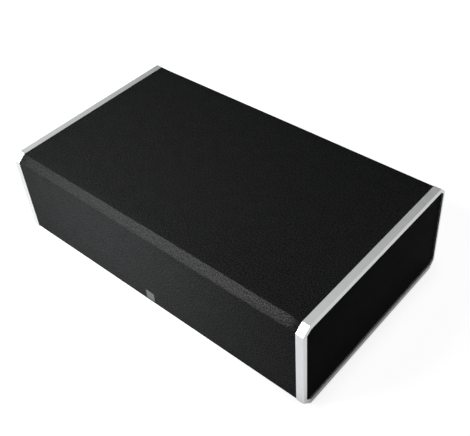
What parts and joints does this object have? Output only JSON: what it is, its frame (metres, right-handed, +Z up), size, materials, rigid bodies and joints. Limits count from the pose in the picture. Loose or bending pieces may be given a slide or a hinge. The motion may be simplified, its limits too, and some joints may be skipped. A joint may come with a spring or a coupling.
{
  "type": "center channel speaker",
  "caption": "Long low home-audio center speaker: black cloth-wrapped cabinet with bevelled edges, satin aluminium end frames around inset black end panels.",
  "frame": {"origin": "on the surface the speaker stands on, under the middle of its box", "axes": "+X along the cabinet to the listener's right as they face it, -Y towards the listener, +Z up"},
  "size_m": [0.527, 0.309, 0.154],
  "materials": {
    "cabinet_board": "raw fibreboard",
    "cloth": "matt knitted cloth",
    "trim_metal": "satin, fine brushed",
    "end_gloss": "smooth black",
    "badge_metal": "satin",
    "foot_rubber": "matt",
    "black_moulding": "fine grained",
    "cast_basket": "black powder coat",
    "motor_steel": "black zinc",
    "ferrite": "sintered, matt",
    "cone_poly": "pressed, matt",
    "surround_rubber": "smooth",
    "spider_cloth": "resin dipped cloth",
    "coil_copper": "enamelled copper wire",
    "dome_metal": "anodised",
    "screw_black": "black oxide",
    "post_metal": "gold plated",
    "cap_black": "moulded",
    "cap_red": "moulded",
    "circuit_board": "glass fibre board",
    "capacitor_sleeve": "film sleeve",
    "resistor_ceramic": "cement",
    "standoff_nylon": "nylon"
  },
  "bodies": {
    "cabinet": {"front_baffle": "cabinet_board", "top_board": "cabinet_board", "bottom_board": "cabinet_board", "rear_board": "cabinet_board", "left_end_board": "cabinet_board", "right_end_board": "cabinet_board", "window_braces": "cabinet_board", "grille_frame": "black_moulding", "radiator_guard": "black_moulding", "terminal_cup": "black_moulding", "tweeter_faceplate": "black_moulding", "left_end_frame": "trim_metal", "left_end_panel": "end_gloss", "left_woofer_basket": "cast_basket", "left_woofer_front_plate": "motor_steel", "left_woofer_magnet": "ferrite", "left_woofer_yoke": "motor_steel", "left_woofer_surround": "surround_rubber", "left_woofer_spider": "spider_cloth", "right_end_frame": "trim_metal", "right_end_panel": "end_gloss", "right_woofer_basket": "cast_basket", "right_woofer_front_plate": "motor_steel", "right_woofer_magnet": "ferrite", "right_woofer_yoke": "motor_steel", "right_woofer_surround": "surround_rubber", "right_woofer_spider": "spider_cloth", "trim_screws": "screw_black", "fabric_wrap": "cloth", "badge": "badge_metal", "rubber_feet": "foot_rubber", "tweeter_surround": "surround_rubber", "tweeter_magnet": "ferrite", "tweeter_cup": "motor_steel", "radiator_frame": "cast_basket", "radiator_surround": "surround_rubber", "driver_screws": "screw_black", "small_screws": "screw_black", "black_post": "post_metal", "red_post": "post_metal", "crossover_board": "circuit_board", "crossover_standoffs": "standoff_nylon", "inductors": "coil_copper", "capacitors": "capacitor_sleeve", "resistors": "resistor_ceramic"},
    "left_woofer_diaphragm": {"left_woofer_cone": "cone_poly", "left_woofer_voice_coil": "coil_copper", "left_woofer_dust_cap": "cone_poly"},
    "right_woofer_diaphragm": {"right_woofer_cone": "cone_poly", "right_woofer_voice_coil": "coil_copper", "right_woofer_dust_cap": "cone_poly"},
    "tweeter_diaphragm": {"tweeter_dome": "dome_metal", "tweeter_voice_coil": "coil_copper"},
    "radiator_diaphragm": {"radiator_cone": "cone_poly", "radiator_weight": "motor_steel"},
    "black_terminal_nut": {"black_insert": "post_metal"},
    "black_terminal_cap": {"black_cap": "cap_black"},
    "red_terminal_nut": {"red_insert": "post_metal"},
    "red_terminal_cap": {"red_cap": "cap_red"}
  },
  "joints": [
    {"name": "left_woofer_stroke", "type": "slide", "parent": "cabinet", "child": "left_woofer_diaphragm", "axis": [0, -1, 0], "range_m": [-0.004, 0.004], "stiffness_N_per_m": 800, "deforming": ["left_woofer_surround", "left_woofer_spider"]},
    {"name": "right_woofer_stroke", "type": "slide", "parent": "cabinet", "child": "right_woofer_diaphragm", "axis": [0, -1, 0], "range_m": [-0.004, 0.004], "stiffness_N_per_m": 800, "deforming": ["right_woofer_surround", "right_woofer_spider"]},
    {"name": "tweeter_stroke", "type": "slide", "parent": "cabinet", "child": "tweeter_diaphragm", "axis": [0, -1, 0], "range_m": [-0.0004, 0.0004], "stiffness_N_per_m": 100, "deforming": ["tweeter_surround"]},
    {"name": "radiator_stroke", "type": "slide", "parent": "cabinet", "child": "radiator_diaphragm", "axis": [0, 0, 1], "range_m": [-0.007, 0.007], "stiffness_N_per_m": 2000, "springref_m": 0.0005, "deforming": ["radiator_surround"]},
    {"name": "black_nut_travel", "type": "slide", "parent": "cabinet", "child": "black_terminal_nut", "axis": [0, 1, 0], "range_m": [0, 0.005]},
    {"name": "black_cap_turn", "type": "hinge", "parent": "black_terminal_nut", "child": "black_terminal_cap", "pos_m": [-0.0095, 0.1379, 0.0785], "axis": [0, 1, 0], "range_deg": [0, 1800]},
    {"name": "red_nut_travel", "type": "slide", "parent": "cabinet", "child": "red_terminal_nut", "axis": [0, 1, 0], "range_m": [0, 0.005]},
    {"name": "red_cap_turn", "type": "hinge", "parent": "red_terminal_nut", "child": "red_terminal_cap", "pos_m": [0.0095, 0.1379, 0.0785], "axis": [0, 1, 0], "range_deg": [0, 1800]}
  ],
  "couplings": [
    {"joint": "black_cap_turn", "follows": "black_nut_travel", "rad_per_m": 6283.2},
    {"joint": "red_cap_turn", "follows": "red_nut_travel", "rad_per_m": 6283.2}
  ]
}
